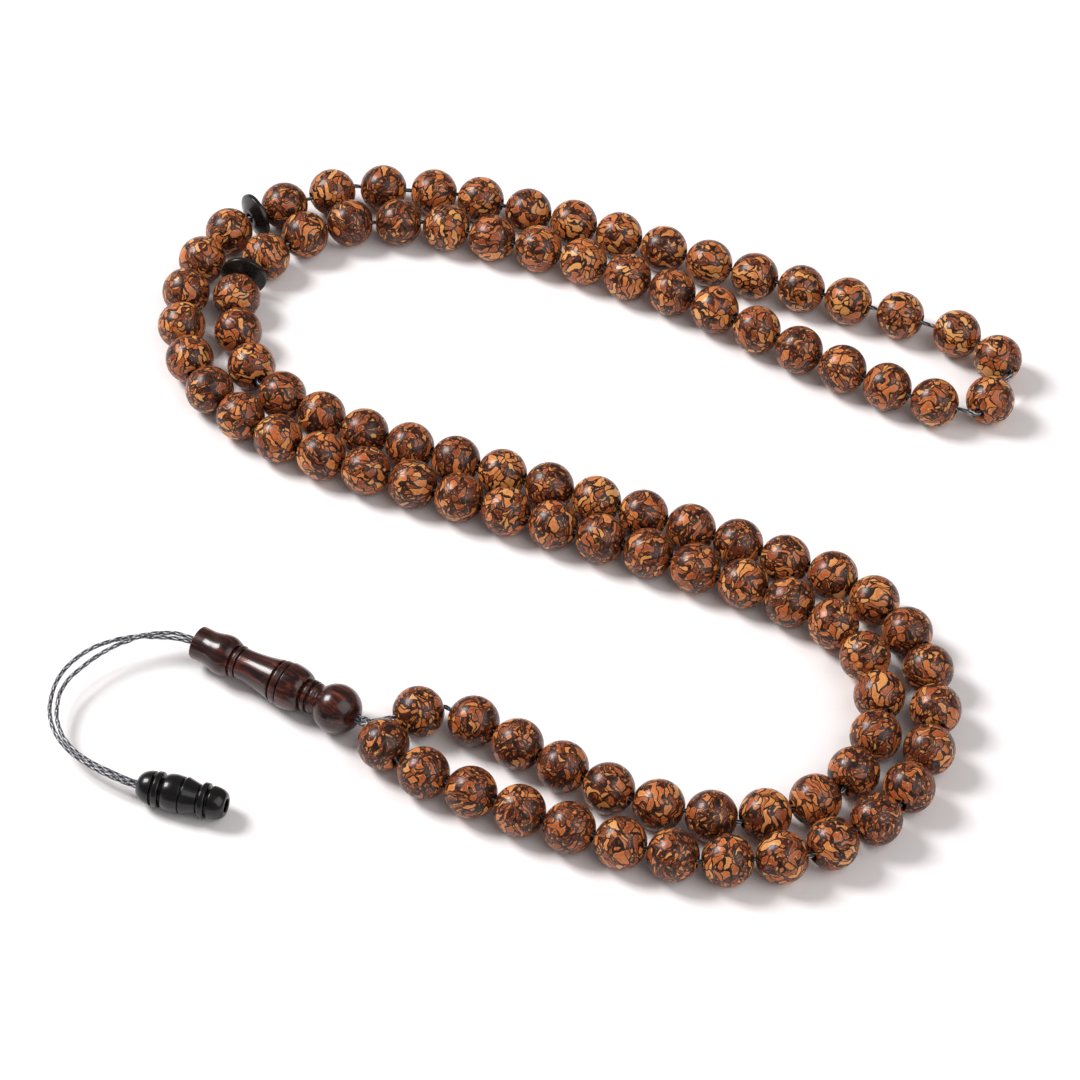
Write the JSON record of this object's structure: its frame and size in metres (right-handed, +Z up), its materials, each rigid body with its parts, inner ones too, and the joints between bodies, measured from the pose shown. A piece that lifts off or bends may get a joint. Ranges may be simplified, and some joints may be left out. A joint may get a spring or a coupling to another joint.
{
  "type": "misbaha prayer beads",
  "caption": "Loop of round wooden prayer beads laid doubled in an S, with disc separators, a turned imame at the neck and a corded toggle tail.",
  "frame": {"origin": "on the plane the beads lie on, under the middle of the box round the beads of the loop", "axes": "+Z up from the table; the middle stretch of the loop runs from far left (-X, +Y) to near right (+X, -Y), and the imame and its tail lie at the near left"},
  "size_m": [0.1551, 0.1544, 0.008],
  "materials": {
    "cord": "waxed braid",
    "chip_light": "satin lacquer",
    "chip_dark": "satin lacquer",
    "dark_wood": "gloss lacquer",
    "black_wood": "gloss lacquer",
    "black_disc": "semi-gloss"
  },
  "bodies": {
    "loop_string": {"loop_string": "cord"},
    "neck": {"neck_string": "cord", "neck_knot": "cord"},
    "imame": {"imame": "dark_wood"},
    "tail": {"tail_far_strand": "cord", "tail_near_strand": "cord", "stopper_knot": "cord"},
    "toggle": {"toggle": "black_wood"},
    "bead_a01": {"bead_a01": "chip_light"},
    "beads_a02_a03": {"beads_a02_a03": "chip_dark"},
    "beads_a04_a05": {"beads_a04_a05": "chip_light"},
    "beads_a06_a07": {"beads_a06_a07": "chip_dark"},
    "beads_a08_a09": {"beads_a08_a09": "chip_light"},
    "beads_a10_a11": {"beads_a10_a11": "chip_dark"},
    "beads_a12_a13": {"beads_a12_a13": "chip_light"},
    "beads_a14_a15": {"beads_a14_a15": "chip_dark"},
    "beads_a16_a17": {"beads_a16_a17": "chip_light"},
    "beads_a18_a20": {"beads_a18_a20": "chip_dark"},
    "beads_a21_a23": {"beads_a21_a23": "chip_light"},
    "beads_a24_a26": {"beads_a24_a26": "chip_dark"},
    "beads_a27_a28": {"beads_a27_a28": "chip_light"},
    "beads_a29_a30": {"beads_a29_a30": "chip_dark"},
    "beads_a31_a32": {"beads_a31_a32": "chip_light"},
    "bead_a33": {"bead_a33": "chip_dark"},
    "separator_a": {"separator_a": "black_disc"},
    "beads_a34_a35": {"beads_a34_a35": "chip_dark"},
    "beads_a36_a37": {"beads_a36_a37": "chip_light"},
    "beads_a38_a40": {"beads_a38_a40": "chip_dark"},
    "beads_a41_a43": {"beads_a41_a43": "chip_light"},
    "beads_a44_a46": {"beads_a44_a46": "chip_dark"},
    "beads_a47_a48": {"beads_a47_a48": "chip_light"},
    "bead_a49": {"bead_a49": "chip_dark"},
    "bead_middle": {"bead_middle": "chip_light"},
    "bead_b49": {"bead_b49": "chip_dark"},
    "bead_b48": {"bead_b48": "chip_light"},
    "bead_b47": {"bead_b47": "chip_dark"},
    "bead_b46": {"bead_b46": "chip_light"},
    "beads_b44_b45": {"beads_b44_b45": "chip_dark"},
    "beads_b41_b43": {"beads_b41_b43": "chip_light"},
    "beads_b38_b40": {"beads_b38_b40": "chip_dark"},
    "beads_b36_b37": {"beads_b36_b37": "chip_light"},
    "beads_b34_b35": {"beads_b34_b35": "chip_dark"},
    "separator_b": {"separator_b": "black_disc"},
    "bead_b33": {"bead_b33": "chip_dark"},
    "beads_b31_b32": {"beads_b31_b32": "chip_light"},
    "beads_b29_b30": {"beads_b29_b30": "chip_dark"},
    "beads_b27_b28": {"beads_b27_b28": "chip_light"},
    "beads_b25_b26": {"beads_b25_b26": "chip_dark"},
    "beads_b22_b24": {"beads_b22_b24": "chip_light"},
    "beads_b19_b21": {"beads_b19_b21": "chip_dark"},
    "beads_b16_b18": {"beads_b16_b18": "chip_light"},
    "beads_b14_b15": {"beads_b14_b15": "chip_dark"},
    "beads_b12_b13": {"beads_b12_b13": "chip_light"},
    "beads_b10_b11": {"beads_b10_b11": "chip_dark"},
    "beads_b08_b09": {"beads_b08_b09": "chip_light"},
    "beads_b06_b07": {"beads_b06_b07": "chip_dark"},
    "beads_b04_b05": {"beads_b04_b05": "chip_light"},
    "beads_b02_b03": {"beads_b02_b03": "chip_dark"},
    "bead_b01": {"bead_b01": "chip_light"}
  },
  "joints": [
    {"name": "neck_swing", "type": "hinge", "parent": "loop_string", "child": "neck", "pos_m": [-0.03458, -0.04671, 0.004], "axis": [0, 0, 1], "range_deg": [-20, 20]},
    {"name": "tail_swing", "type": "hinge", "parent": "neck", "child": "tail", "pos_m": [-0.06093, -0.03056, 0.004], "axis": [0, 0, 1], "range_deg": [-15, 15]},
    {"name": "imame_turn", "type": "hinge", "parent": "neck", "child": "imame", "pos_m": [-0.04831, -0.0383, 0.004], "axis": [0.8526, -0.5225, 0], "continuous": true},
    {"name": "toggle_turn", "type": "hinge", "parent": "tail", "child": "toggle", "pos_m": [-0.06858, -0.05801, 0.003], "axis": [0.9563, -0.2924, 0], "continuous": true},
    {"name": "bead_a49_slide", "type": "slide", "parent": "loop_string", "child": "bead_a49", "axis": [0.9322, -0.362, 0], "range_m": [-0.0002, 0.0012]},
    {"name": "bead_middle_slide", "type": "slide", "parent": "loop_string", "child": "bead_middle", "axis": [0.5614, 0.8276, 0], "range_m": [-0.0001, 0.0017]},
    {"name": "bead_b49_slide", "type": "slide", "parent": "loop_string", "child": "bead_b49", "axis": [-0.5692, 0.8222, 0], "range_m": [-0.0001, 0.0005]},
    {"name": "bead_b48_slide", "type": "slide", "parent": "loop_string", "child": "bead_b48", "axis": [-0.8812, 0.4728, 0], "range_m": [-0.0002, 0.002]},
    {"name": "bead_b47_slide", "type": "slide", "parent": "loop_string", "child": "bead_b47", "axis": [-0.925, 0.38, 0], "range_m": [-0.0002, 0.001]},
    {"name": "bead_a01_turn", "type": "hinge", "parent": "loop_string", "child": "bead_a01", "pos_m": [-0.03175, -0.05101, 0.004], "axis": [0.5727, -0.8197, 0], "continuous": true},
    {"name": "beads_a02_a03_turn", "type": "hinge", "parent": "loop_string", "child": "beads_a02_a03", "pos_m": [-0.02194, -0.05844, 0.004], "axis": [0.8867, -0.4623, 0], "continuous": true},
    {"name": "beads_a04_a05_turn", "type": "hinge", "parent": "loop_string", "child": "beads_a04_a05", "pos_m": [-0.00734, -0.06546, 0.004], "axis": [0.9151, -0.4033, 0], "continuous": true},
    {"name": "beads_a06_a07_turn", "type": "hinge", "parent": "loop_string", "child": "beads_a06_a07", "pos_m": [0.00783, -0.07111, 0.004], "axis": [0.956, -0.2935, 0], "continuous": true},
    {"name": "beads_a08_a09_turn", "type": "hinge", "parent": "loop_string", "child": "beads_a08_a09", "pos_m": [0.02379, -0.07296, 0.004], "axis": [0.9977, 0.068, 0], "continuous": true},
    {"name": "beads_a10_a11_turn", "type": "hinge", "parent": "loop_string", "child": "beads_a10_a11", "pos_m": [0.03882, -0.06778, 0.004], "axis": [0.8274, 0.5616, 0], "continuous": true},
    {"name": "beads_a12_a13_turn", "type": "hinge", "parent": "loop_string", "child": "beads_a12_a13", "pos_m": [0.04919, -0.05571, 0.004], "axis": [0.4304, 0.9026, 0], "continuous": true},
    {"name": "beads_a14_a15_turn", "type": "hinge", "parent": "loop_string", "child": "beads_a14_a15", "pos_m": [0.05214, -0.04006, 0.004], "axis": [-0.0743, 0.9972, 0], "continuous": true},
    {"name": "beads_a16_a17_turn", "type": "hinge", "parent": "loop_string", "child": "beads_a16_a17", "pos_m": [0.0467, -0.02515, 0.004], "axis": [-0.5864, 0.81, 0], "continuous": true},
    {"name": "beads_a18_a20_turn", "type": "hinge", "parent": "loop_string", "child": "beads_a18_a20", "pos_m": [0.03076, -0.01326, 0.004], "axis": [-0.9049, 0.4256, 0], "continuous": true},
    {"name": "beads_a21_a23_turn", "type": "hinge", "parent": "loop_string", "child": "beads_a21_a23", "pos_m": [0.00851, -0.00351, 0.004], "axis": [-0.9263, 0.3769, 0], "continuous": true},
    {"name": "beads_a24_a26_turn", "type": "hinge", "parent": "loop_string", "child": "beads_a24_a26", "pos_m": [-0.01406, 0.0055, 0.004], "axis": [-0.9312, 0.3646, 0], "continuous": true},
    {"name": "beads_a27_a28_turn", "type": "hinge", "parent": "loop_string", "child": "beads_a27_a28", "pos_m": [-0.03284, 0.01307, 0.004], "axis": [-0.9219, 0.3874, 0], "continuous": true},
    {"name": "beads_a29_a30_turn", "type": "hinge", "parent": "loop_string", "child": "beads_a29_a30", "pos_m": [-0.04702, 0.02084, 0.004], "axis": [-0.8221, 0.5694, 0], "continuous": true},
    {"name": "beads_a31_a32_turn", "type": "hinge", "parent": "loop_string", "child": "beads_a31_a32", "pos_m": [-0.057, 0.03397, 0.004], "axis": [-0.309, 0.951, 0], "continuous": true},
    {"name": "bead_a33_turn", "type": "hinge", "parent": "loop_string", "child": "bead_a33", "pos_m": [-0.05895, 0.04633, 0.004], "axis": [0.1787, 0.9839, 0], "continuous": true},
    {"name": "separator_a_turn", "type": "hinge", "parent": "loop_string", "child": "separator_a", "pos_m": [-0.05799, 0.05151, 0.004], "axis": [0.1926, 0.9813, 0], "continuous": true},
    {"name": "beads_a34_a35_turn", "type": "hinge", "parent": "loop_string", "child": "beads_a34_a35", "pos_m": [-0.05128, 0.05886, 0.004], "axis": [0.7625, 0.6469, 0], "continuous": true},
    {"name": "beads_a36_a37_turn", "type": "hinge", "parent": "loop_string", "child": "beads_a36_a37", "pos_m": [-0.03636, 0.06459, 0.004], "axis": [0.9999, 0.015, 0], "continuous": true},
    {"name": "beads_a38_a40_turn", "type": "hinge", "parent": "loop_string", "child": "beads_a38_a40", "pos_m": [-0.01614, 0.06075, 0.004], "axis": [0.9485, -0.3166, 0], "continuous": true},
    {"name": "beads_a41_a43_turn", "type": "hinge", "parent": "loop_string", "child": "beads_a41_a43", "pos_m": [0.0068, 0.05121, 0.004], "axis": [0.8935, -0.4491, 0], "continuous": true},
    {"name": "beads_a44_a46_turn", "type": "hinge", "parent": "loop_string", "child": "beads_a44_a46", "pos_m": [0.02815, 0.0385, 0.004], "axis": [0.8205, -0.5717, 0], "continuous": true},
    {"name": "beads_a47_a48_turn", "type": "hinge", "parent": "loop_string", "child": "beads_a47_a48", "pos_m": [0.04555, 0.0272, 0.004], "axis": [0.8639, -0.5037, 0], "continuous": true},
    {"name": "bead_b46_turn", "type": "hinge", "parent": "loop_string", "child": "bead_b46", "pos_m": [0.04374, 0.04534, 0.004], "axis": [-0.9331, 0.3596, 0], "continuous": true},
    {"name": "beads_b44_b45_turn", "type": "hinge", "parent": "loop_string", "child": "beads_b44_b45", "pos_m": [0.03213, 0.04983, 0.004], "axis": [-0.9322, 0.3619, 0], "continuous": true},
    {"name": "beads_b41_b43_turn", "type": "hinge", "parent": "loop_string", "child": "beads_b41_b43", "pos_m": [0.01304, 0.05797, 0.004], "axis": [-0.9112, 0.4119, 0], "continuous": true},
    {"name": "beads_b38_b40_turn", "type": "hinge", "parent": "loop_string", "child": "beads_b38_b40", "pos_m": [-0.01014, 0.06737, 0.004], "axis": [-0.9404, 0.34, 0], "continuous": true},
    {"name": "beads_b36_b37_turn", "type": "hinge", "parent": "loop_string", "child": "beads_b36_b37", "pos_m": [-0.03064, 0.07272, 0.004], "axis": [-0.993, 0.1178, 0], "continuous": true},
    {"name": "beads_b34_b35_turn", "type": "hinge", "parent": "loop_string", "child": "beads_b34_b35", "pos_m": [-0.04784, 0.07052, 0.004], "axis": [-0.9219, -0.3873, 0], "continuous": true},
    {"name": "separator_b_turn", "type": "hinge", "parent": "loop_string", "child": "separator_b", "pos_m": [-0.05676, 0.06643, 0.004], "axis": [-0.806, -0.5919, 0], "continuous": true},
    {"name": "bead_b33_turn", "type": "hinge", "parent": "loop_string", "child": "bead_b33", "pos_m": [-0.06108, 0.06239, 0.004], "axis": [-0.7008, -0.7133, 0], "continuous": true},
    {"name": "beads_b31_b32_turn", "type": "hinge", "parent": "loop_string", "child": "beads_b31_b32", "pos_m": [-0.0664, 0.05149, 0.004], "axis": [-0.2841, -0.9588, 0], "continuous": true},
    {"name": "beads_b29_b30_turn", "type": "hinge", "parent": "loop_string", "child": "beads_b29_b30", "pos_m": [-0.0669, 0.03557, 0.004], "axis": [0.2227, -0.9749, 0], "continuous": true},
    {"name": "beads_b27_b28_turn", "type": "hinge", "parent": "loop_string", "child": "beads_b27_b28", "pos_m": [-0.05961, 0.02139, 0.004], "axis": [0.6639, -0.7478, 0], "continuous": true},
    {"name": "beads_b25_b26_turn", "type": "hinge", "parent": "loop_string", "child": "beads_b25_b26", "pos_m": [-0.04699, 0.01144, 0.004], "axis": [0.8818, -0.4716, 0], "continuous": true},
    {"name": "beads_b22_b24_turn", "type": "hinge", "parent": "loop_string", "child": "beads_b22_b24", "pos_m": [-0.02853, 0.00317, 0.004], "axis": [0.9307, -0.3658, 0], "continuous": true},
    {"name": "beads_b19_b21_turn", "type": "hinge", "parent": "loop_string", "child": "beads_b19_b21", "pos_m": [-0.00592, -0.00574, 0.004], "axis": [0.9299, -0.3679, 0], "continuous": true},
    {"name": "beads_b16_b18_turn", "type": "hinge", "parent": "loop_string", "child": "beads_b16_b18", "pos_m": [0.01652, -0.01505, 0.004], "axis": [0.9173, -0.3981, 0], "continuous": true},
    {"name": "beads_b14_b15_turn", "type": "hinge", "parent": "loop_string", "child": "beads_b14_b15", "pos_m": [0.03438, -0.02447, 0.004], "axis": [0.8253, -0.5647, 0], "continuous": true},
    {"name": "beads_b12_b13_turn", "type": "hinge", "parent": "loop_string", "child": "beads_b12_b13", "pos_m": [0.04313, -0.03735, 0.004], "axis": [0.2197, -0.9756, 0], "continuous": true},
    {"name": "beads_b10_b11_turn", "type": "hinge", "parent": "loop_string", "child": "beads_b10_b11", "pos_m": [0.04114, -0.0529, 0.004], "axis": [-0.4561, -0.8899, 0], "continuous": true},
    {"name": "beads_b08_b09_turn", "type": "hinge", "parent": "loop_string", "child": "beads_b08_b09", "pos_m": [0.02946, -0.06322, 0.004], "axis": [-0.9398, -0.3417, 0], "continuous": true},
    {"name": "beads_b06_b07_turn", "type": "hinge", "parent": "loop_string", "child": "beads_b06_b07", "pos_m": [0.01368, -0.06387, 0.004], "axis": [-0.9657, 0.2595, 0], "continuous": true},
    {"name": "beads_b04_b05_turn", "type": "hinge", "parent": "loop_string", "child": "beads_b04_b05", "pos_m": [-0.00113, -0.05749, 0.004], "axis": [-0.852, 0.5235, 0], "continuous": true},
    {"name": "beads_b02_b03_turn", "type": "hinge", "parent": "loop_string", "child": "beads_b02_b03", "pos_m": [-0.01474, -0.04876, 0.004], "axis": [-0.8311, 0.5562, 0], "continuous": true},
    {"name": "bead_b01_turn", "type": "hinge", "parent": "loop_string", "child": "bead_b01", "pos_m": [-0.02655, -0.04459, 0.004], "axis": [-0.967, -0.2547, 0], "continuous": true}
  ]
}
